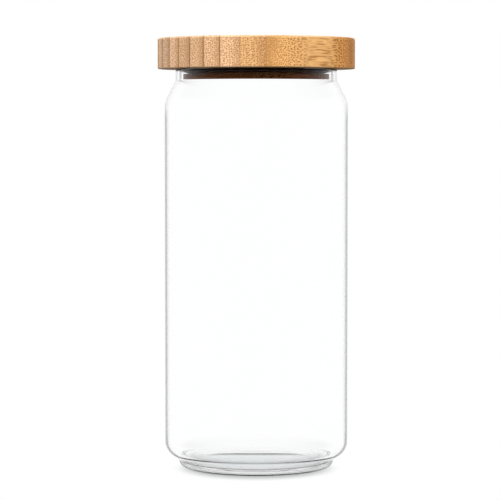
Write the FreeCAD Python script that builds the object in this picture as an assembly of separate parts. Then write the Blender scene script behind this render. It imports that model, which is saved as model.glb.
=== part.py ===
import FreeCAD, Part
import math
import os

# A lidded glass canister: a blown glass jar on a stepped foot, a lid disc glued up from bamboo slats with a
# turned bamboo plug under it, and a flared seal ring in the groove round the plug.
# Millimetres, +Z up, with the origin at the centre of the base that the jar stands on.

# Glass jar
body_radius = 50.0
jar_height = 217.0  # from the base to the top of the rim
glass_wall = 2.0
neck_inset = 6.0  # how far the neck stands in from the body
neck_height = 6.0  # from the crease above the shoulder to the top of the rim
neck_crease_radius = 1.0
shoulder_radius = 14.0
shoulder_slope = 27.0  # degrees from upright
foot_inset = 7.7  # how far the foot stands in from the body
foot_crease_radius = 1.0
lower_corner_radius = 8.5
lower_slope = 53.0  # degrees from upright
heel_radius = 3.2
standing_ring = 4.6  # width of the flat ring under the foot
push_up = 1.2  # rise of the hollow under the base
floor_thickness = 3.0
floor_fillet = 5.0

# Lid disc
lid_overhang = 3.7  # how far the lid stands out from the body
lid_thickness = 16.6
lid_gap = 0.2  # between the rim and the underside of the lid
lid_top_round = 1.0
lid_lower_round = 0.5
slat_count = 13
first_slat_width = 2.8  # at the start of the stack
last_slat_width = 8.6  # at its end; the slats between them share the rest of the disc
slat_direction = -52.0  # degrees from +X to the direction that the slats are stacked in

# Plug
plug_clearance = 2.2  # between the plug's flange and the neck
flange_thickness = 3.2
flange_round = 0.5
groove_height = 2.8
groove_depth = 3.8  # from the flange's edge in to the floor of the groove

# Seal ring
seal_play = 0.1  # between the seal, the floor of its groove and the lid
seal_foot_gap = 0.5  # between the seal and the flange below it
seal_band = 1.6  # radial thickness of the part that grips the groove
lip_thickness = 0.9
lip_clearance = 0.1  # between the lip and the neck

# Sizes that follow from those above
neck_radius = body_radius - neck_inset
neck_bore = neck_radius - glass_wall
neck_base = jar_height - neck_height
foot_radius = body_radius - foot_inset
floor_top = push_up + floor_thickness
lid_radius = body_radius + lid_overhang
lid_underside = jar_height + lid_gap
lid_top = lid_underside + lid_thickness
slat_width = (2 * lid_radius - first_slat_width - last_slat_width) / (slat_count - 2)
flange_top = lid_underside - groove_height
plug_bottom = flange_top - flange_thickness
flange_radius = neck_bore - plug_clearance
groove_radius = flange_radius - groove_depth

UPRIGHT = FreeCAD.Vector(0, 0, 1)
CENTRE = FreeCAD.Vector(0, 0, 0)


def point(r, z):
    """A point of an outline, at radius r from the axis and height z."""
    return FreeCAD.Vector(r, 0, z)


def corner(r, z):
    """A sharp corner of an outline."""
    return [point(r, z)]


def arc(centre_r, centre_z, radius, start, end):
    """A round stretch of an outline, between two angles in degrees from the outward direction."""
    angles = [math.radians(angle) for angle in (start, (start + end) / 2, end)]
    return [point(centre_r + radius * math.cos(a), centre_z + radius * math.sin(a)) for a in angles]


def turned(*stretches):
    """The solid turned about the axis from corners and arcs in order, with straight lines across the gaps."""
    edges = []
    for stretch, following in zip(stretches, stretches[1:] + stretches[:1]):
        if len(stretch) > 1:
            edges.append(Part.Arc(*stretch).toShape())
        if not stretch[-1].isEqual(following[0], Part.Precision.confusion()):
            edges.append(Part.LineSegment(stretch[-1], following[0]).toShape())
    return Part.Face(Part.Wire(edges)).revolve(CENTRE, UPRIGHT, 360)


def step_rise(radius, inset, slope):
    """Height of a step between its crease and the body: a sloping stretch, then an arc that turns upright."""
    angle = math.radians(slope)
    straight = inset - radius * (1 - math.cos(angle))
    return straight / math.tan(angle) + radius * math.sin(angle)


def crease_reach(radius, slope):
    """How far along each side of a crease its rounding begins."""
    return radius * math.tan(math.radians(slope) / 2)


def make_glass_jar():
    """Body, shoulder, neck, rounded rim and stepped foot, hollowed at an even wall above a thicker floor."""
    ring_outer = foot_radius - heel_radius
    ring_inner = ring_outer - standing_ring
    dome_radius = (ring_inner**2 + push_up**2) / (2 * push_up)
    dome_edge = math.degrees(math.atan2(dome_radius - push_up, ring_inner))

    foot_crease_r = foot_radius + foot_crease_radius
    foot_crease_z = heel_radius + crease_reach(foot_crease_radius, lower_slope)
    lower_r = body_radius - lower_corner_radius
    lower_z = foot_crease_z + step_rise(lower_corner_radius, foot_inset, lower_slope)
    shoulder_r = body_radius - shoulder_radius
    shoulder_z = neck_base - step_rise(shoulder_radius, neck_inset, shoulder_slope)
    neck_crease_r = neck_radius + neck_crease_radius
    neck_crease_z = neck_base + crease_reach(neck_crease_radius, shoulder_slope)
    rim = glass_wall / 2

    # The floor's fillet has its centre one radius from the floor and from the sloping inner wall.
    slope = math.radians(lower_slope)
    inward = glass_wall + floor_fillet
    fillet_z = floor_top + floor_fillet
    along = (fillet_z - foot_crease_z - inward * math.sin(slope)) / math.cos(slope)
    fillet_r = foot_radius - inward * math.cos(slope) + along * math.sin(slope)

    return turned(
        arc(0, push_up - dome_radius, dome_radius, 90, dome_edge),
        arc(ring_outer, heel_radius, heel_radius, -90, 0),
        arc(foot_crease_r, heel_radius, foot_crease_radius, 180, 180 - lower_slope),
        arc(lower_r, lower_z, lower_corner_radius, -lower_slope, 0),
        arc(shoulder_r, shoulder_z, shoulder_radius, 0, shoulder_slope),
        arc(neck_crease_r, neck_crease_z, neck_crease_radius, 180 + shoulder_slope, 180),
        arc(neck_radius - rim, jar_height - rim, rim, 0, 180),
        arc(neck_crease_r, neck_crease_z, neck_crease_radius + glass_wall, 180, 180 + shoulder_slope),
        arc(shoulder_r, shoulder_z, shoulder_radius - glass_wall, shoulder_slope, 0),
        arc(lower_r, lower_z, lower_corner_radius - glass_wall, 0, -lower_slope),
        arc(fillet_r, fillet_z, floor_fillet, -lower_slope, -90),
        corner(0, floor_top),
    )


def make_lid_disc():
    """The lid's disc as turned, with its edges eased."""
    return turned(
        corner(0, lid_top),
        arc(lid_radius - lid_top_round, lid_top - lid_top_round, lid_top_round, 90, 0),
        arc(lid_radius - lid_lower_round, lid_underside + lid_lower_round, lid_lower_round, 0, -90),
        corner(0, lid_underside),
    )


def make_slats():
    """The disc cut into its slats by the glue planes, which stand square to the direction of the stack."""
    disc = make_lid_disc()
    seams = [first_slat_width - lid_radius + count * slat_width for count in range(slat_count - 1)]
    edges = [-2 * lid_radius] + seams + [2 * lid_radius]
    slats = []
    for start, end in zip(edges, edges[1:]):
        slab_corner = FreeCAD.Vector(start, -2 * lid_radius, 0)
        slab = Part.makeBox(end - start, 4 * lid_radius, 2 * lid_top, slab_corner)
        slab.rotate(CENTRE, UPRIGHT, slat_direction)
        slats.append(disc.common(slab).Solids[0])
    return slats


def make_plug():
    """The turned plug under the disc, with a groove for the seal above its flange."""
    return turned(
        corner(0, lid_underside),
        corner(groove_radius, lid_underside),
        corner(groove_radius, flange_top),
        corner(flange_radius, flange_top),
        arc(flange_radius - flange_round, plug_bottom + flange_round, flange_round, 0, -90),
        corner(0, plug_bottom),
    )


def make_seal_ring():
    """A band in the groove with a lip that flares up and out to the neck, in the shape it is pressed into."""
    inner = groove_radius + seal_play
    outer = inner + seal_band
    top = lid_underside - seal_play
    bottom = flange_top + seal_foot_gap
    tip = lip_thickness / 2
    tip_r = neck_bore - lip_clearance - tip
    tip_z = top - tip

    # The lip's underside runs from the foot of the band to touch the round of its tip.
    run = tip_r - outer
    rise = tip_z - bottom
    flare = math.atan2(rise, run) - math.asin(tip / math.hypot(run, rise))
    back = (run - tip * math.sin(flare)) / math.cos(flare)
    root_z = tip_z + tip * math.cos(flare) - back * math.sin(flare)
    turn = math.degrees(flare)
    return turned(
        corner(inner, bottom),
        corner(outer, bottom),
        arc(tip_r, tip_z, tip, turn - 90, turn + 90),
        corner(outer, root_z),
        corner(outer, top),
        corner(inner, top),
    )


nodes = {"glass_jar": make_glass_jar(), "seal_ring": make_seal_ring(), "lid_plug": make_plug()}
for number, slat in enumerate(make_slats(), start=1):
    nodes[f"lid_slat_{number:02d}"] = slat

os.makedirs("parts", exist_ok=True)
for name, shape in nodes.items():
    shape.exportStep(f"parts/{name}.step")
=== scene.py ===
import math

import bmesh
import bpy
import numpy as np
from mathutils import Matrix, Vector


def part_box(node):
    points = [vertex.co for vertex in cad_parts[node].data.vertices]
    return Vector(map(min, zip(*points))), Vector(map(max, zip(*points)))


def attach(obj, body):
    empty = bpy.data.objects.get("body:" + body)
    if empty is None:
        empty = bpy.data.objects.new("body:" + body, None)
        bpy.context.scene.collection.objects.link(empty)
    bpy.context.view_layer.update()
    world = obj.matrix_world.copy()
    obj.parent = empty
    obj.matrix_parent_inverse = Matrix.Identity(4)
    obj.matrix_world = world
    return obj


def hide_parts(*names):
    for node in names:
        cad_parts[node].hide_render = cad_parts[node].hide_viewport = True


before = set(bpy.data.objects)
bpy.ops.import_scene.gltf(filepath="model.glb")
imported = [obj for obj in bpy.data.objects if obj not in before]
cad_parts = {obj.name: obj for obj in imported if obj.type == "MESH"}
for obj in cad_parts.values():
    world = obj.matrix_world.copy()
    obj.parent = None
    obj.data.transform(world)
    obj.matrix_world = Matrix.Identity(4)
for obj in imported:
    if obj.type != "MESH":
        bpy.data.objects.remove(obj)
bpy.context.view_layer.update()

# A lidded glass canister in a white studio: the jar, the slats of its bamboo lid, the plug under them and the
# seal ring, each made as a surface in place of its node of the frame. Metres, +Z up.

MM = 0.001

# Meshes: the gap under which points of an outline or a mesh are one, and the angle in degrees of a sharp edge
outline_gap = 1e-3 * MM
weld_gap = 0.5e-3 * MM
sliver_gap = 0.2e-3 * MM
crease_angle = 40.0

# Glass jar. Slopes are in degrees from upright.
jar_low, jar_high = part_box("glass_jar")
body_radius = (jar_high[0] - jar_low[0]) / 2
jar_height = jar_high[2]
glass_wall = 2.0 * MM
neck_radius = body_radius - 6.0 * MM
neck_base = jar_height - 6.0 * MM
neck_crease_radius = 1.0 * MM
shoulder_radius = 14.0 * MM
shoulder_slope = 27.0
foot_radius = body_radius - 7.7 * MM
foot_crease_radius = 1.0 * MM
lower_corner_radius = 8.5 * MM
lower_slope = 53.0
heel_radius = 3.2 * MM
standing_ring = 4.6 * MM
push_up = 1.2 * MM
floor_top = push_up + 3.0 * MM
floor_fillet = 5.0 * MM
jar_facets = 224

# Ripple that blowing leaves in the body
glass_ripple = 0.012 * MM
long_wave = 31 * MM
short_wave = 17 * MM
short_wave_share = 0.7
wave_start = 0.7
skin_ripple = 0.3
ripple_fade = 20 * MM
ripple_from_base = 16 * MM
ripple_from_rim = 8 * MM

# How strongly the glass is darkened where it is seen edge on, by height in millimetres: painted dark
# reflections at its edges, in place of dark surroundings
skin_edge_shade = {3: 1.0, 4.5: 0.3, 7: 0.3, 8.5: 2.2, 12: 2.2, 18: 1.1, 190: 1.1, 200: 0.15, 209: 0.15, 212: 0.5}
bore_edge_shade = {209: 0.0, 212: 1.6}
# Painted shade on the top of the rim, which sits under the lid: a dark tint at every angle over the given
# depths below the top
rim_shade = 0.97
rim_shade_depths = np.array((1.6, 0.8)) * MM

# Lid
plug_low, plug_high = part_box("lid_plug")
lid_underside = plug_high[2]
lid_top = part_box("lid_slat_06")[1][2]
lid_radius = body_radius + 3.7 * MM
lid_top_round = 1.0 * MM
lid_lower_round = 0.5 * MM
slat_count = 13
first_slat_width = 2.8 * MM
last_slat_width = 8.6 * MM
slat_direction = math.radians(-52.0)
seam_ease = 0.14 * MM
rows_on_slat = 26
columns_on_face = 24

# The look of each slat: warmth of its colour, lightness, and the place of its knuckle along the grain. Warmth
# and lightness are partly each slat's own colour and partly painted light: cooler, greyer slats stand in for
# sheen on one side of the rim, and the lightness for how brightly each part of the rim is lit.
slat_tones_and_sheen = (0.3, 0.35, 0.6, 0.3, 0.1, 0.15, 0.2, 0.35, 0.35, 0.4, 0.36, 0.75, 0.95)
slat_lights = (1.0, 0.95, 1.02, 0.97, 1.04, 0.97, 1.13, 0.97, 1.02, 1.04, 1.14, 0.99, 1.01)
slat_knuckles = {3: -12 * MM, 5: 31 * MM, 6: -38 * MM, 8: 14 * MM, 10: -27 * MM, 12: 22 * MM}
no_knuckle = 900 * MM
slats_turned_over = (3, 13)
last_strong_seam = 10
strong_glue = 1.0
faint_glue = 0.4
first_glue_spread = 2.0
glue_spread_step = 0.2
steepest_slant = 0.2

# What changes on the slats with the distance along the grain from the middle, in millimetres
thread_reach = (4, 10)
# A darker, yellower tint rises along the grain towards one side of the rim and lies lightly on the faces:
# partly the bamboo's own ageing colour and partly painted shade on that side of the rim
age_and_shade_reach = (5, 17)
crowd_reach = (4, 12)
last_slat_crowd = (2.3, 1.3)
face_age_and_shade = 0.4

# Plug and its groove
flange_radius = (plug_high[0] - plug_low[0]) / 2
flange_bottom = plug_low[2]
flange_top = flange_bottom + 3.2 * MM
flange_round = 0.5 * MM
flange_ease = 0.15 * MM
groove_radius = flange_radius - 3.8 * MM
plug_facets = 160

# Seal ring
seal_low, seal_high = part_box("seal_ring")
seal_inner = groove_radius + 0.1 * MM
seal_outer = seal_inner + 1.6 * MM
seal_bottom = seal_low[2]
seal_top = seal_high[2]
seal_tip = 0.45 * MM
seal_reach = (seal_high[0] - seal_low[0]) / 2
seal_facets = 192

# Bamboo grain in millimetres: noise by width and length, and marks from where they are full to where they end
coarse_bundle = 1.04
fine_bundle = 0.7
patch_grain = (4.5, 60.0)
streak_grain = (0.9, 150.0)
hair_grain = (0.22, 25.0)
wander_grain = (14.0, 45.0)
wander_reach = 1.8
thread_height = 1.1
thread_length = 11.0
thread_depth = 2.0
glue_line = (0.15, 0.7)
knuckle_band = (0.4, 2.0)
knuckle_halo = (1.0, 6.0)
knuckle_bend = 3.0
blotches_per_mm = 0.06
slat_shift = 37.0

# Bundles on a cut, in cells: how regular they are, and their core and edge as distances from the middle
coarse_randomness = 0.7
coarse_dot = (0.17, 0.4)
fine_randomness = 0.75
fine_dot = (0.18, 0.44)
# Bundles swell under the darker, yellower tint, which is partly ageing and partly painted shade
age_and_shade_swell = 0.03

# Density of the wood, which rises towards the skin side of a slat, and the bundles that go with it
skin_levels = (0.35, 1.0)
density_levels = (-0.05, 1.05)
coarse_levels = (0.35, 0.95)
coarse_shares = (0.9, 0.4)
inner_levels = (0.0, 0.25)
inner_shares = (0.75, 1.0)
fine_levels = (0.35, 0.9)

# Levels of noise between which each mark comes in
thread_levels = (0.5, 0.64)
streak_levels = (0.35, 0.68)
hair_levels = (0.5, 0.75)
blotch_levels = (0.3, 0.7)
glue_levels = (0.3, 0.7)
glue_shares = (0.5, 1.0)
rub_and_highlight_levels = (0.35, 0.6)
rub_and_highlight_shares = (0.25, 0.6)

# How strongly the marks in the bamboo show
density_strength = 0.45
thread_strength = 0.75
streak_strength = 0.55
hair_strength = 0.25
blotch_strength = 0.18
bundle_strength = 0.9
halo_strength = 0.25
band_strength = 0.42

# Sheen and relief of the bamboo. Rises and dips are shares of the relief's depth.
bamboo_roughness = 0.6
bundle_roughness = 0.14
streak_roughness = 0.2
rub_polish = 0.15
hair_rise = 0.5
bundle_dip = 0.55
glue_dip = 0.5
band_rise = 0.4
bamboo_relief = 0.12 * MM
relief_strength = 0.5
bamboo_ior = 1.45
bamboo_shine = 0.12

# Bamboo colours. A pair runs from a cool slat to a warm one.
pale_wood = ((0.77, 0.54, 0.385, 1), (0.92, 0.52, 0.19, 1))
deep_wood = ((0.52, 0.30, 0.165, 1), (0.58, 0.27, 0.075, 1))
bundle_brown = ((0.26, 0.118, 0.053, 1), (0.31, 0.10, 0.014, 1))
hair_cream = (0.86, 0.60, 0.36, 1)
blotch_brown = (0.55, 0.30, 0.14, 1)
halo_brown = (0.58, 0.35, 0.17, 1)
knuckle_brown = (0.30, 0.145, 0.06, 1)
glue_brown = (0.23, 0.115, 0.05, 1)
# Cream on the rubbed arrises: partly wear and partly a painted highlight on the rounded edges
rubbed_cream_and_highlight = (0.84, 0.60, 0.38, 1)
# A darker, yellower multiplied tint: partly ageing and partly painted shade on one side of the rim
age_and_shade_tint = (0.86, 0.74, 0.57, 1)
# Multiplied into a piece's colour: painted shade for the plug, which sits in shade under the lid, and nothing
# for the slats
plug_painted_shade = (0.50, 0.34, 0.25, 1)
no_painted_shade = (1, 1, 1, 1)

# What the grain reads on a piece, with the value that it has where nothing is read
grain_readings = {
    "Skin": 0.5,
    "Tone": 0.5,
    "Light": 1.0,
    "Age": 0.0,
    "Crowd": 1.0,
    "Seam": 90.0,
    "Glue": 0.5,
    "Knuckle": no_knuckle / MM,
    "Arris": 0.0,
    "Lengthwise": 0.0,
}
slat_grain = {reading: reading.lower() for reading in grain_readings}
# The plug reads dimmer, fully tinted and multiplied darker: painted shade, for the shade it sits in under the
# lid
plug_grain = {"Skin": 0.4, "Tone": 0.95, "Light": 0.9, "Age": 1.0}

# Glass and silicone
glass_ior = 1.47
edge_facing = (0.70, 0.84)
clear_tint = (0.995, 0.998, 0.997, 1)
# Colour painted where the glass is seen edge on: a painted dark reflection
edge_shade_grey = (0.10, 0.106, 0.108, 1)
# Dark tint painted on the top of the rim in place of the lid's shade
rim_shade_grey = (0.05, 0.045, 0.04, 1)
glass_glint = (0.06, 0.06, 0.06, 1)
glass_shadow = (0.93, 0.94, 0.945, 1)
silicone_brown = (0.085, 0.038, 0.022, 1)
silicone_dust = (0.095, 0.052, 0.036, 1)
silicone_shine = 0.06
silicone_relief = 0.05 * MM
grit_per_metre = 2600.0
grit_strength = 0.25
clouds_per_metre = 90.0
dust_levels = (0.5, 0.75)
dust_strength = 0.5
matt_levels = (0.3, 0.7)
silicone_roughness = (0.5, 0.65)

# Studio
white = (1, 1, 1, 1)
floor_reach = 6.0
# Painted shadow on the floor: lighter under the jar, darker round its foot, fading to white away from a point
# in front of the jar
painted_floor_under_jar = (0.80, 0.80, 0.80, 1)
floor_in_shadow = (0.51, 0.51, 0.51, 1)
floor_roughness = 0.9
shadow_centre = (0, -12 * MM, 0)
shadow_fade = (30.5 * MM, 46.5 * MM)
shadow_ring_fade = (22 * MM, 40 * MM)
floor_bounce = 0.05
world_bounce = 0.4
ceiling_rise = (0.3, 0.75)
ceiling_light = 0.15
lamp_size = 1.1
lamp_target = (0, 0, 0.2)
lamps = {
    "key lamp": ((-1.19, -0.93, 1.18), 28),
    "fill lamp": ((0.93, -1.19, 1.18), 26),
    "back lamp": ((-0.3, 1.5, 0.75), 14),
}
camera_lens = 164.7
camera_sensor = 36.0
camera_place = (-3.43 * MM, -1.25, 190.2 * MM)
camera_tilt = 3.285  # degrees down


def arc(centre_r, centre_z, radius, start, end, steps=10):
    """A round stretch of an outline: points at even angles, in degrees from the outward direction."""
    angles = np.radians(np.linspace(start, end, steps + 1))
    return np.column_stack((centre_r + radius * np.cos(angles), centre_z + radius * np.sin(angles)))


def corner(r, z):
    """A sharp corner of an outline."""
    return np.array([[r, z]])


def outline(*stretches, run=8):
    """One line of points through the stretches, with straight runs between them.

    The points of a run close up towards its ends: they are even steps of a cosine.
    """
    share = ((1 - np.cos(np.pi * np.linspace(0, 1, run + 1)[1:-1])) / 2)[:, None]
    line = [stretches[0]]
    for stretch in stretches[1:]:
        line.append(line[-1][-1] + share * (stretch[0] - line[-1][-1]))
        line.append(stretch)
    points = np.concatenate(line)
    gaps = np.linalg.norm(np.diff(points, axis=0), axis=1)
    return points[np.append(True, gaps > outline_gap)]


def grid_faces(rows, columns, closed=False):
    """The quads of a grid whose columns close up on themselves, and whose rows do too if closed."""
    row = np.arange(rows if closed else rows - 1)[:, None]
    column = np.arange(columns)[None, :]
    after = (row + 1) % rows * columns
    beside = (column + 1) % columns
    here = row * columns
    corners = (here + column, here + beside, after + beside, after + column)
    return np.stack(corners, axis=-1).reshape(-1, 4)


def turn_outline(line, around, waver=None):
    """A surface turned about the upright axis: x = r cos a, y = r sin a, with waver added to r if given."""
    angle = np.linspace(0, 2 * np.pi, around, endpoint=False)[None, :]
    radius = line[:, :1] + np.zeros_like(angle)
    height = line[:, 1:] + np.zeros_like(angle)
    if waver is not None:
        radius = radius + waver(radius, height, angle)
    return np.stack((radius * np.cos(angle), radius * np.sin(angle), height), axis=-1)


def make_piece(name, points, faces, body, node, material, layers=None, crease=None):
    """A piece of the object, with its layers of values, and with doubled points welded so that poles close.

    Edges sharper than crease, in degrees, stay sharp where it is given. All others are shaded smooth.
    """
    mesh = bpy.data.meshes.new(name)
    mesh.from_pydata(points.reshape(-1, 3).tolist(), [], faces)
    for key, values in (layers or {}).items():
        layer = mesh.attributes.new(key, "FLOAT", "POINT")
        layer.data.foreach_set("value", np.ascontiguousarray(values, dtype=np.float32).ravel())
    work = bmesh.new()
    work.from_mesh(mesh)
    bmesh.ops.remove_doubles(work, verts=work.verts, dist=weld_gap)
    bmesh.ops.dissolve_degenerate(work, edges=work.edges, dist=sliver_gap)
    work.to_mesh(mesh)
    work.free()
    mesh.polygons.foreach_set("use_smooth", np.ones(len(mesh.polygons), dtype=bool))
    if crease is not None:
        mesh.set_sharp_from_angle(angle=math.radians(crease))
    mesh.materials.append(material)
    piece = bpy.data.objects.new(name, mesh)
    bpy.context.scene.collection.objects.link(piece)
    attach(piece, body)
    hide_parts(node)


def jar_outline():
    """The jar's section from the middle of the base, up the outside, over the rim and down to the floor."""
    slope = math.radians(lower_slope)
    ring_outer = foot_radius - heel_radius
    ring_inner = ring_outer - standing_ring
    dome_radius = (ring_inner**2 + push_up**2) / (2 * push_up)
    dome_edge = math.degrees(math.atan2(dome_radius - push_up, ring_inner))

    foot_crease_r = foot_radius + foot_crease_radius
    foot_crease_z = heel_radius + foot_crease_radius * math.tan(slope / 2)
    lower_r = body_radius - lower_corner_radius
    lower_run = (body_radius - foot_radius - lower_corner_radius * (1 - math.cos(slope))) / math.tan(slope)
    lower_z = foot_crease_z + lower_run + lower_corner_radius * math.sin(slope)

    rise = math.radians(shoulder_slope)
    shoulder_r = body_radius - shoulder_radius
    shoulder_run = (body_radius - neck_radius - shoulder_radius * (1 - math.cos(rise))) / math.tan(rise)
    shoulder_z = neck_base - shoulder_run - shoulder_radius * math.sin(rise)
    neck_crease_r = neck_radius + neck_crease_radius
    neck_crease_z = neck_base + neck_crease_radius * math.tan(rise / 2)
    rim = glass_wall / 2

    # The floor's fillet has its centre one radius from the floor and from the sloping inner wall.
    inward = glass_wall + floor_fillet
    fillet_z = floor_top + floor_fillet
    along = (fillet_z - foot_crease_z - inward * math.sin(slope)) / math.cos(slope)
    fillet_r = foot_radius - inward * math.cos(slope) + along * math.sin(slope)
    return outline(
        arc(0, push_up - dome_radius, dome_radius, 90, dome_edge, 12),
        arc(ring_outer, heel_radius, heel_radius, -90, 0, 16),
        arc(foot_crease_r, heel_radius, foot_crease_radius, 180, 180 - lower_slope),
        arc(lower_r, lower_z, lower_corner_radius, -lower_slope, 0, 14),
        arc(shoulder_r, shoulder_z, shoulder_radius, 0, shoulder_slope),
        arc(neck_crease_r, neck_crease_z, neck_crease_radius, 180 + shoulder_slope, 180),
        arc(neck_radius - rim, jar_height - rim, rim, 0, 180, 14),
        arc(neck_crease_r, neck_crease_z, neck_crease_radius + glass_wall, 180, 180 + shoulder_slope),
        arc(shoulder_r, shoulder_z, shoulder_radius - glass_wall, shoulder_slope, 0),
        arc(lower_r, lower_z, lower_corner_radius - glass_wall, 0, -lower_slope, 14),
        arc(fillet_r, fillet_z, floor_fillet, -lower_slope, -90),
        corner(0, floor_top),
        run=16,
    )


def blown_waver(radius, height, angle):
    """Slow ripples left by blowing: sines of the angle and the height, which fade out towards base and rim.

    The body's bore ripples fully, and its skin only by the share skin_ripple.
    """
    swell = np.sin(2 * angle + wave_start) * np.sin(height / long_wave)
    swell = swell + short_wave_share * np.sin(3 * angle + height / short_wave)
    below_rim = np.clip((jar_height - ripple_from_rim - height) / ripple_fade, 0, 1)
    above_base = np.clip((height - ripple_from_base) / ripple_fade, 0, 1)
    inside = np.clip((body_radius - glass_wall / 2 - radius) / (glass_wall / 4), 0, 1)
    share = skin_ripple + (1 - skin_ripple) * inside
    return -glass_ripple * swell * share * below_rim * above_base


def make_jar(material):
    """The jar, turned from its outline, with layers for its painted dark edges and the painted shade on its
    rim.
    """
    line = jar_outline()
    points = turn_outline(line, jar_facets, blown_waver)
    height = line[:, 1]
    outside = np.arange(len(line)) <= np.argmax(height)
    skin = np.interp(height, np.array(list(skin_edge_shade)) * MM, list(skin_edge_shade.values()))
    bore = np.interp(height, np.array(list(bore_edge_shade)) * MM, list(bore_edge_shade.values()))
    shade = np.interp(height, jar_height - rim_shade_depths, (0, rim_shade))
    layers = {
        "edge": np.repeat(np.where(outside, skin, bore), jar_facets),
        "shade": np.repeat(shade, jar_facets),
    }
    faces = grid_faces(len(line), jar_facets).tolist()
    make_piece("blown_jar", points, faces, "jar", "glass_jar", material, layers)


def slat_rows(start, end):
    """Places across the stack for a slat's rows, and how far each is from the nearest glue plane.

    The rows lie at even turns round the rim, with a few more in the eased arris beside each glue plane.
    """
    eased = seam_ease * (1 - np.cos(np.linspace(0, np.pi / 2, 5)[:-1]))
    glued_start = start > -lid_radius
    glued_end = end < lid_radius
    first_turn = math.asin((start + seam_ease * glued_start) / lid_radius)
    last_turn = math.asin((end - seam_ease * glued_end) / lid_radius)
    rim_rows = lid_radius * np.sin(np.linspace(first_turn, last_turn, rows_on_slat))
    start_rows = start + eased if glued_start else []
    end_rows = end - eased[::-1] if glued_end else []
    across = np.concatenate((start_rows, rim_rows, end_rows))[:, None]
    from_start = across - start if glued_start else np.inf
    from_end = end - across if glued_end else np.inf
    return across, np.minimum(from_start, from_end)


def slat_loop(rim_ahead, underside, rim_behind, top):
    """Values round each row of a slat: down one rim, along the underside, up the other and along the top."""
    face = np.zeros((len(rim_ahead), columns_on_face))
    return np.hstack((rim_ahead, underside + face, rim_behind[:, ::-1], top + face))


def make_slat(number, start, end, material):
    """One slat of the lid's disc, between the glue planes at start and end across the stack.

    Each row is a closed loop at one place u across the stack. A rim point of radius r lies at the square root
    of r squared less u squared along the grain. Rows near a glue plane are drawn in by a quarter round, which
    eases the slat's arris there.
    """
    rim = outline(
        arc(lid_radius - lid_top_round, lid_top - lid_top_round, lid_top_round, 90, 0, 6),
        arc(lid_radius - lid_lower_round, lid_underside + lid_lower_round, lid_lower_round, 0, -90, 6),
    )
    heading = np.gradient(rim, axis=0)
    heading = heading / np.linalg.norm(heading, axis=1)[:, None]
    across, near = slat_rows(start, end)
    lean = np.clip(seam_ease - near, 0, seam_ease)
    inset = seam_ease - np.sqrt(seam_ease**2 - lean**2)
    radius = rim[:, 0] + inset * heading[:, 1]
    height = rim[:, 1] - inset * heading[:, 0]
    place = np.clip(across, -radius, radius)
    grain = np.sqrt(np.maximum(radius**2 - place**2, 0))

    share = np.linspace(-1, 1, columns_on_face + 2)[1:-1]
    u = slat_loop(place, place[:, -1:], place, place[:, :1])
    g = slat_loop(grain, -share * grain[:, -1:], -grain, share * grain[:, :1])
    z = slat_loop(height, height[:, -1:], height, height[:, :1])
    x = u * math.cos(slat_direction) - g * math.sin(slat_direction)
    y = u * math.sin(slat_direction) + g * math.cos(slat_direction)
    points = np.stack((x, y, z), axis=-1)
    rows, columns = u.shape
    faces = grid_faces(rows, columns)[:, ::-1].tolist()
    if number > 1:
        faces.append(list(range(columns)))
    if number < slat_count:
        faces.append(list(range(rows * columns - 1, (rows - 1) * columns - 1, -1)))

    # On the rim the distance from a glue plane is taken round the rim, so that glue lines keep their width.
    # They are wider on the first slats.
    spread = max(1.0, first_glue_spread - glue_spread_step * (number - 1))
    slant = radius / np.maximum(grain, steepest_slant * radius) / spread
    start_glue = strong_glue if number - 1 <= last_strong_seam else faint_glue
    end_glue = strong_glue if number <= last_strong_seam else faint_glue
    glue = np.where(across - start < end - across, start_glue, end_glue)
    depth = (u - start) / (end - start)
    # The rounds of the rim, rubbed lighter: partly wear and partly a painted highlight where a rounded edge
    # catches light
    worn_and_lit = 2 * np.abs(heading[:, 0] * heading[:, 1]) + 0 * grain
    threads = np.interp(grain / MM, thread_reach, (1, 0))
    crowd = last_slat_crowd if number == slat_count else (1, 1)
    layers = {
        "skin": 1 - depth if number in slats_turned_over else depth,
        "tone": np.full_like(u, slat_tones_and_sheen[number - 1]),
        "light": np.full_like(u, slat_lights[number - 1]),
        "age": slat_loop(np.interp(grain / MM, age_and_shade_reach, (0, 1)), face_age_and_shade, 0 * grain, face_age_and_shade),
        "crowd": np.interp(g / MM, crowd_reach, crowd),
        "seam": slat_loop(near * slant, near, near * slant, near) / MM,
        "glue": np.broadcast_to(glue, u.shape),
        "knuckle": (g - slat_knuckles.get(number, no_knuckle)) / MM,
        "arris": slat_loop(worn_and_lit, 0, worn_and_lit, 0),
        "lengthwise": slat_loop(threads, 0, threads, 0),
    }
    name = f"bamboo_slat_{number:02d}"
    node = f"lid_slat_{number:02d}"
    make_piece(name, points, faces, "lid", node, material, layers, crease_angle)


def make_slats(material):
    """The slats in the order of the stack: even ones between a narrow first one and a wide last one."""
    seams = np.linspace(first_slat_width - lid_radius, lid_radius - last_slat_width, slat_count - 1)
    edges = np.concatenate(([-lid_radius], seams, [lid_radius]))
    for number, (start, end) in enumerate(zip(edges, edges[1:]), start=1):
        make_slat(number, start, end, material)


def make_plug(material):
    """The plug under the disc, turned with a groove for the seal."""
    line = outline(
        corner(0, flange_bottom),
        arc(flange_radius - flange_round, flange_bottom + flange_round, flange_round, -90, 0, 6),
        arc(flange_radius - flange_ease, flange_top - flange_ease, flange_ease, 0, 90, 3),
        corner(groove_radius, flange_top),
        corner(groove_radius, lid_underside),
        corner(0, lid_underside),
        run=6,
    )
    points = turn_outline(line, plug_facets)
    faces = grid_faces(len(line), plug_facets).tolist()
    make_piece("bamboo_plug", points, faces, "lid", "lid_plug", material, crease=crease_angle)


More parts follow.
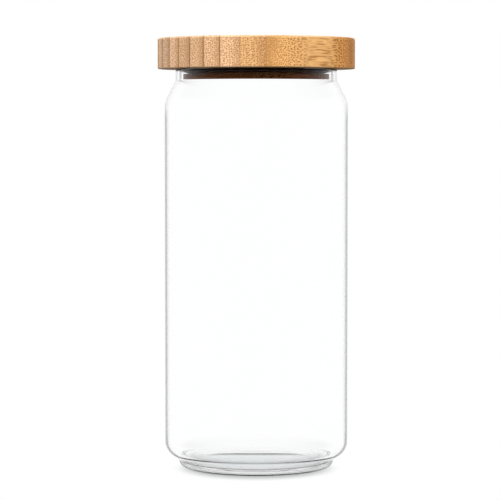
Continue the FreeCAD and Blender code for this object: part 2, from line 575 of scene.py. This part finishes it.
def make_seal(material):
    """The seal, turned: a band in the groove with a lip that flares up and out to the neck.

    The lip's underside runs from the foot of the band to touch the round of its tip.
    """
    tip_r = seal_reach - seal_tip
    tip_z = seal_top - seal_tip
    run = tip_r - seal_outer
    rise = tip_z - seal_bottom
    flare = math.atan2(rise, run) - math.asin(seal_tip / math.hypot(run, rise))
    back = (run - seal_tip * math.sin(flare)) / math.cos(flare)
    root_z = tip_z + seal_tip * math.cos(flare) - back * math.sin(flare)
    turn = math.degrees(flare)
    line = outline(
        corner(seal_inner, seal_bottom),
        corner(seal_outer, seal_bottom),
        arc(tip_r, tip_z, seal_tip, turn - 90, turn + 90),
        corner(seal_outer, root_z),
        corner(seal_outer, seal_top),
        corner(seal_inner, seal_top),
    )
    points = turn_outline(line, seal_facets)
    faces = grid_faces(len(line), seal_facets, closed=True).tolist()
    name = "silicone_seal"
    make_piece(name, points, faces, "seal", "seal_ring", material, crease=crease_angle)


class Graph:
    """A node tree, with short ways to add the nodes that the finishes use."""

    def __init__(self, tree):
        self.tree = tree

    def give(self, socket, value):
        """Sets a socket to a plain value, or links it to another socket."""
        if isinstance(value, bpy.types.NodeSocket):
            self.tree.links.new(value, socket)
        else:
            socket.default_value = value

    def fill(self, node, inputs):
        """Gives a node's inputs, by name or number."""
        for key, value in inputs.items():
            self.give(node.inputs[key], value)

    def add(self, kind, inputs=None, **settings):
        """A new node with its settings and its inputs."""
        node = self.tree.nodes.new(kind)
        for key, setting in settings.items():
            setattr(node, key, setting)
        self.fill(node, inputs or {})
        return node

    def math(self, operation, *operands):
        """The result of an operation on one or two operands."""
        return self.add("ShaderNodeMath", dict(enumerate(operands)), operation=operation).outputs[0]

    def plus(self, first, second):
        """The two added."""
        return self.math("ADD", first, second)

    def minus(self, first, second):
        """The first less the second."""
        return self.math("SUBTRACT", first, second)

    def times(self, first, second):
        """The two multiplied."""
        return self.math("MULTIPLY", first, second)

    def over(self, first, second):
        """The first divided by the second."""
        return self.math("DIVIDE", first, second)

    def ease(self, source, low, high, start=0.0, end=1.0):
        """A smooth step from start to end while source goes from low to high."""
        inputs = {"Value": source, "From Min": low, "From Max": high, "To Min": start, "To Max": end}
        return self.add("ShaderNodeMapRange", inputs, interpolation_type="SMOOTHSTEP").outputs[0]

    def fade(self, source, low, high):
        """A smooth step down from 1 to 0 while source goes from low to high."""
        return self.ease(source, low, high, 1.0, 0.0)

    def between(self, share, first, second):
        """A value between two others."""
        return self.add("ShaderNodeMix", {0: share, 2: first, 3: second}).outputs[0]

    def colour(self, share, first, second, blend="MIX"):
        """A mix of two colours."""
        node = self.add("ShaderNodeMix", data_type="RGBA", blend_type=blend)
        sockets = [socket for socket in node.inputs if socket.enabled]
        for socket, value in zip(sockets, (share, first, second)):
            self.give(socket, value)
        return next(socket for socket in node.outputs if socket.enabled)

    def shaders(self, share, first, second):
        """A mix of two shaders."""
        return self.add("ShaderNodeMixShader", {0: share, 1: first.outputs[0], 2: second.outputs[0]})

    def show(self, shader):
        """Makes a shader the material's surface."""
        self.give(self.tree.nodes["Material Output"].inputs["Surface"], shader.outputs[0])

    def point(self, x, y, z):
        """A place from its three measures."""
        return self.add("ShaderNodeCombineXYZ", {0: x, 1: y, 2: z}).outputs[0]

    def noise(self, place, scale=1.0, detail=2.0, output="Fac"):
        """Soft noise, with scale as its cells in each unit of the place."""
        inputs = {"Vector": place, "Scale": scale, "Detail": detail}
        return self.add("ShaderNodeTexNoise", inputs).outputs[output]

    def bump(self, height, strength, distance):
        """A normal that follows a height."""
        inputs = {"Height": height, "Strength": strength, "Distance": distance}
        return self.add("ShaderNodeBump", inputs).outputs["Normal"]

    def place(self, kind="Object"):
        """The place that is shaded, by default in metres on the object."""
        return self.add("ShaderNodeTexCoord").outputs[kind]

    def layer(self, name):
        """One of the piece's layers of values."""
        return self.add("ShaderNodeAttribute", attribute_name=name).outputs["Fac"]

    def ray(self, name):
        """A fact about the ray that is followed."""
        return self.add("ShaderNodeLightPath").outputs[name]

    def bounced(self):
        """1 for a ray that has left a matt surface, and 0 for one from the camera or through glass."""
        return self.ease(self.ray("Diffuse Depth"), 0.0, 1.0)


class Grain:
    """Places in the lid in millimetres: across the stack from the lid's edge, along the grain, and up.

    Slow noise makes the grain wander, and each slat's tone shifts its pattern, so that slats differ.
    """

    def __init__(self, graph, given):
        self.graph = graph
        mapping = {"Vector": given["Place"], "Rotation": (0, 0, -slat_direction), "Scale": [1 / MM] * 3}
        self.turned = graph.add("ShaderNodeMapping", mapping).outputs[0]
        measures = graph.add("ShaderNodeSeparateXYZ", {0: self.turned}).outputs
        self.from_edge = graph.minus(measures["X"], lid_radius / MM)
        self.along = measures["Y"]
        crowded = graph.times(self.from_edge, given["Crowd"])

        width, length = wander_grain
        slow = (graph.over(crowded, width), graph.over(measures["Z"], width), graph.over(self.along, length))
        drift = graph.noise(graph.point(*slow), detail=1.0, output="Color")
        drifts = graph.add("ShaderNodeSeparateColor", {0: drift}).outputs
        wander = [graph.times(graph.minus(channel, 0.5), wander_reach) for channel in drifts[:2]]
        self.across = graph.plus(crowded, wander[0])
        self.up = graph.plus(measures["Z"], wander[1])
        self.shift = graph.times(given["Tone"], slat_shift)

    def cut(self, width, depth=0.0):
        """The place on a cut across the grain, in units of width."""
        across = self.graph.plus(self.graph.over(self.across, width), self.shift)
        return self.graph.point(across, self.graph.over(self.up, width), depth)

    def noise(self, size, detail):
        """Noise that is drawn out along the grain, with size as the width and length of its cells."""
        width, length = size
        return self.graph.noise(self.cut(width, self.graph.over(self.along, length)), detail=detail)

    def dots(self, width, randomness, dot, swell):
        """Round bundles on a cut, one in each cell, that fade from a core to an edge."""
        inputs = {"Vector": self.cut(width), "Scale": 1.0, "Randomness": randomness}
        cells = self.graph.add("ShaderNodeTexVoronoi", inputs, voronoi_dimensions="2D")
        return self.graph.fade(self.graph.minus(cells.outputs["Distance"], swell), *dot)

    def threads(self):
        """Bundles as they show where the rim runs along the grain: thin lines."""
        along = self.graph.over(self.along, thread_length)
        up = self.graph.over(self.up, thread_height)
        inward = self.graph.over(self.from_edge, thread_depth)
        thread = self.graph.noise(self.graph.point(along, up, inward), detail=1.5)
        return self.graph.ease(thread, *thread_levels, end=thread_strength)


def new_group(name, readings, results):
    """An empty node group as a graph, with what it reads at a place and the sockets of its results."""
    tree = bpy.data.node_groups.new(name, "ShaderNodeTree")
    tree.interface.new_socket("Place", in_out="INPUT", socket_type="NodeSocketVector")
    for key, usual in readings.items():
        socket = tree.interface.new_socket(key, in_out="INPUT", socket_type="NodeSocketFloat")
        socket.default_value = usual
    for key, kind in results.items():
        tree.interface.new_socket(key, in_out="OUTPUT", socket_type=f"NodeSocket{kind}")
    return Graph(tree), tree.nodes.new("NodeGroupInput").outputs, tree.nodes.new("NodeGroupOutput")


def fibre_bundles(graph, grain, given, density, aged_and_shaded):
    """How much bundle shows: coarse dots in open wood, fine ones in dense wood, threads along the grain."""
    swell = graph.times(aged_and_shaded, age_and_shade_swell)
    coarse = grain.dots(coarse_bundle, coarse_randomness, coarse_dot, swell)
    fine = grain.dots(fine_bundle, fine_randomness, fine_dot, swell)
    coarse_share = graph.ease(density, *coarse_levels, *coarse_shares)
    coarse_share = graph.times(coarse_share, graph.ease(given["Skin"], *inner_levels, *inner_shares))
    fine_share = graph.ease(density, *fine_levels)
    dots = graph.math("MAXIMUM", graph.times(coarse, coarse_share), graph.times(fine, fine_share))
    return graph.between(given["Lengthwise"], dots, grain.threads())


def wood_ground(graph, tone, density, streak, hair, blotch):
    """The wood between the bundles, deeper where it is dense, with streaks, pale hairs and blotches."""
    pale = graph.colour(tone, *pale_wood)
    deep = graph.colour(tone, *deep_wood)
    ground = graph.colour(graph.times(density, density_strength), pale, deep)
    ground = graph.colour(graph.ease(streak, *streak_levels, end=streak_strength), ground, deep)
    ground = graph.colour(graph.ease(hair, *hair_levels, end=hair_strength), ground, hair_cream)
    return graph.colour(graph.ease(blotch, *blotch_levels, end=blotch_strength), ground, blotch_brown)


def make_bamboo_group():
    """Bamboo that has one grain through and through, so that a rim and a face show the same fibres.

    The bundles of fibre run along the grain. They crowd and get finer towards the skin side of a slat. Over
    them come the knuckle, the glue lines, the rubbed arrises, which are partly a painted highlight, and a
    darker, yellower ageing tint, which is partly painted shade.
    """
    results = {"Color": "Color", "Roughness": "Float", "Height": "Float"}
    graph, given, result = new_group("bamboo grain", grain_readings, results)
    grain = Grain(graph, given)
    patch = grain.noise(patch_grain, detail=2.0)
    streak = grain.noise(streak_grain, detail=3.0)
    hair = grain.noise(hair_grain, detail=2.0)
    blotch = graph.noise(grain.turned, blotches_per_mm, detail=2.0)
    aged_and_shaded = graph.ease(given["Age"], 0.0, 1.0)
    tone = given["Tone"]

    density = graph.plus(graph.ease(given["Skin"], *skin_levels), graph.minus(patch, 0.5))
    density = graph.ease(density, *density_levels)
    bundles = fibre_bundles(graph, grain, given, density, aged_and_shaded)
    colour = wood_ground(graph, tone, density, streak, hair, blotch)
    colour = graph.colour(graph.times(bundles, bundle_strength), colour, graph.colour(tone, *bundle_brown))

    bend = graph.times(graph.minus(patch, 0.5), knuckle_bend)
    from_knuckle = graph.math("ABSOLUTE", graph.plus(given["Knuckle"], bend))
    band = graph.fade(from_knuckle, *knuckle_band)
    halo = graph.fade(from_knuckle, *knuckle_halo)
    colour = graph.colour(graph.times(halo, halo_strength), colour, halo_brown)
    colour = graph.colour(graph.times(band, band_strength), colour, knuckle_brown)

    glue = graph.times(graph.fade(given["Seam"], *glue_line), given["Glue"])
    glue = graph.times(glue, graph.ease(streak, *glue_levels, *glue_shares))
    colour = graph.colour(glue, colour, glue_brown)
    # Rubbed arrises turn cream: partly wear and partly a painted highlight
    rub_and_highlight = graph.times(given["Arris"], graph.ease(blotch, *rub_and_highlight_levels, *rub_and_highlight_shares))
    colour = graph.colour(rub_and_highlight, colour, rubbed_cream_and_highlight)
    # Darker, yellower tint: partly ageing and partly painted shade on one side of the rim
    colour = graph.colour(aged_and_shaded, colour, age_and_shade_tint, "MULTIPLY")
    lit = graph.add("ShaderNodeVectorMath", {0: colour, "Scale": given["Light"]}, operation="SCALE")

    rough = graph.plus(bamboo_roughness, graph.times(bundles, bundle_roughness))
    rough = graph.plus(rough, graph.times(graph.minus(streak, 0.5), streak_roughness))
    rough = graph.minus(rough, graph.times(rub_and_highlight, rub_polish))
    height = graph.minus(graph.times(hair, hair_rise), graph.times(bundles, bundle_dip))
    height = graph.minus(height, graph.times(glue, glue_dip))
    height = graph.plus(height, graph.times(band, band_rise))
    graph.fill(result, {"Color": lit.outputs[0], "Roughness": rough, "Height": height})
    return graph.tree


def new_material(name):
    """A new material, with its graph and its shader."""
    material = bpy.data.materials.new(name)
    material.use_nodes = True
    return material, Graph(material.node_tree), material.node_tree.nodes["Principled BSDF"]


def make_bamboo(name, group, readings, shade_tint=no_painted_shade):
    """Sanded bamboo. A reading of the grain is a plain value or the name of one of the piece's layers. Its
    colour is multiplied by a given tint, which paints shade on the plug.
    """
    material, graph, shader = new_material(name)
    wood = graph.add("ShaderNodeGroup", node_tree=group)
    graph.give(wood.inputs["Place"], graph.place())
    for key, reading in readings.items():
        graph.give(wood.inputs[key], graph.layer(reading) if isinstance(reading, str) else reading)
    finish = {
        "Base Color": graph.colour(1.0, wood.outputs["Color"], shade_tint, "MULTIPLY"),
        "Roughness": wood.outputs["Roughness"],
        "IOR": bamboo_ior,
        "Specular IOR Level": bamboo_shine,
        "Normal": graph.bump(wood.outputs["Height"], relief_strength, bamboo_relief),
    }
    graph.fill(shader, finish)
    return material


def make_glass():
    """Clear glass, painted darker where it is seen edge on and on the top of its rim (painted dark
    reflections and painted shade), that lets lamp light through to the floor.
    """
    material, graph, shader = new_material("clear glass")
    facing = graph.add("ShaderNodeLayerWeight", {"Blend": 0.5}).outputs["Facing"]
    # Painted dark reflection: the glass darkens where it is seen edge on, as much as the edge layer gives at
    # each height
    grey = graph.times(graph.ease(facing, *edge_facing), graph.layer("edge"))
    tint = graph.colour(grey, clear_tint, edge_shade_grey)
    finish = {
        # Painted shade on the top of the rim, under the lid
        "Base Color": graph.colour(graph.layer("shade"), tint, rim_shade_grey),
        "Roughness": 0.0,
        "IOR": glass_ior,
        "Transmission Weight": 1.0,
        "Specular Tint": glass_glint,
    }
    graph.fill(shader, finish)
    clear = graph.add("ShaderNodeBsdfTransparent", {"Color": glass_shadow})
    graph.show(graph.shaders(graph.ray("Is Shadow Ray"), shader, clear))
    return material


def make_silicone():
    """Dark moulded silicone with a fine matt skin and a little dust."""
    material, graph, shader = new_material("dark silicone")
    place = graph.place()
    grit = graph.noise(place, grit_per_metre, detail=2.0)
    cloud = graph.noise(place, clouds_per_metre, detail=3.0)
    dust = graph.ease(cloud, *dust_levels, end=dust_strength)
    finish = {
        "Base Color": graph.colour(dust, silicone_brown, silicone_dust),
        "Roughness": graph.ease(cloud, *matt_levels, *silicone_roughness),
        "Specular IOR Level": silicone_shine,
        "Normal": graph.bump(grit, grit_strength, silicone_relief),
    }
    graph.fill(shader, finish)
    return material


def make_floor():
    """A floor with a painted shadow near the jar, lighter under its base and darker in a ring round its foot,
    that also takes the lamps' shadows there, and plain white farther out.
    """
    mesh = bpy.data.meshes.new("studio floor")
    sides = (-floor_reach, floor_reach)
    mesh.from_pydata([(x, y, 0) for x in sides for y in sides], [], [(0, 2, 3, 1)])
    floor = bpy.data.objects.new("studio floor", mesh)
    bpy.context.scene.collection.objects.link(floor)

    material, graph, shader = new_material("white floor")
    place = graph.place()
    from_axis = graph.add("ShaderNodeVectorMath", {0: place}, operation="LENGTH").outputs["Value"]
    shadow = graph.add("ShaderNodeVectorMath", {0: place, 1: shadow_centre}, operation="DISTANCE")
    # Painted shadow: lighter under the jar, darker in a ring round its foot
    grey = graph.colour(graph.ease(from_axis, *shadow_ring_fade), painted_floor_under_jar, floor_in_shadow)
    graph.fill(shader, {"Base Color": grey, "Roughness": floor_roughness, "Specular IOR Level": 0.0})
    bright = graph.add("ShaderNodeEmission", {"Color": white, "Strength": 1.0})
    dim = graph.add("ShaderNodeEmission", {"Color": white, "Strength": floor_bounce})
    seen = graph.shaders(graph.ease(shadow.outputs["Value"], *shadow_fade), shader, bright)
    graph.show(graph.shaders(graph.bounced(), seen, dim))
    mesh.materials.append(material)


def make_world():
    """A white room with a darker ceiling, dimmer for light that it casts on things."""
    world = bpy.data.worlds.new("white room")
    bpy.context.scene.world = world
    world.use_nodes = True
    graph = Graph(world.node_tree)
    toward = graph.place("Generated")
    up = graph.add("ShaderNodeSeparateXYZ", {0: toward}).outputs["Z"]
    ceiling = graph.ease(up, *ceiling_rise, 1.0, ceiling_light)
    shown = graph.math("MAXIMUM", graph.ray("Is Camera Ray"), ceiling)
    strength = graph.between(graph.bounced(), shown, world_bounce)
    graph.fill(world.node_tree.nodes["Background"], {"Color": white, "Strength": strength})


def make_lamp(name, place, power):
    """A soft square lamp, turned towards the object, that the camera, glass and gloss don't show."""
    data = bpy.data.lights.new(name, "AREA")
    data.shape = "SQUARE"
    data.size = lamp_size
    data.energy = power
    lamp = bpy.data.objects.new(name, data)
    bpy.context.scene.collection.objects.link(lamp)
    lamp.location = place
    look = np.subtract(lamp_target, place)
    yaw = math.atan2(look[0], -look[1])
    lamp.rotation_euler = (math.acos(-look[2] / np.linalg.norm(look)), 0, yaw + math.pi)
    lamp.visible_camera = False
    lamp.visible_glossy = False
    lamp.visible_transmission = False


def make_camera():
    """The photograph's camera: a long lens at the height of the jar's shoulder, tilted down a little."""
    data = bpy.data.cameras.new("camera")
    data.lens = camera_lens
    data.sensor_width = camera_sensor
    camera = bpy.data.objects.new("camera", data)
    bpy.context.scene.collection.objects.link(camera)
    camera.location = camera_place
    camera.rotation_euler = (math.radians(90 - camera_tilt), 0, 0)
    bpy.context.scene.camera = camera


bpy.context.scene.view_settings.view_transform = "Standard"

bamboo_grain = make_bamboo_group()
make_jar(make_glass())
make_slats(make_bamboo("lid bamboo", bamboo_grain, slat_grain))
make_plug(make_bamboo("plug bamboo", bamboo_grain, plug_grain, plug_painted_shade))
make_seal(make_silicone())
make_floor()
make_world()
for lamp_name, (lamp_place, lamp_power) in lamps.items():
    make_lamp(lamp_name, lamp_place, lamp_power)
make_camera()
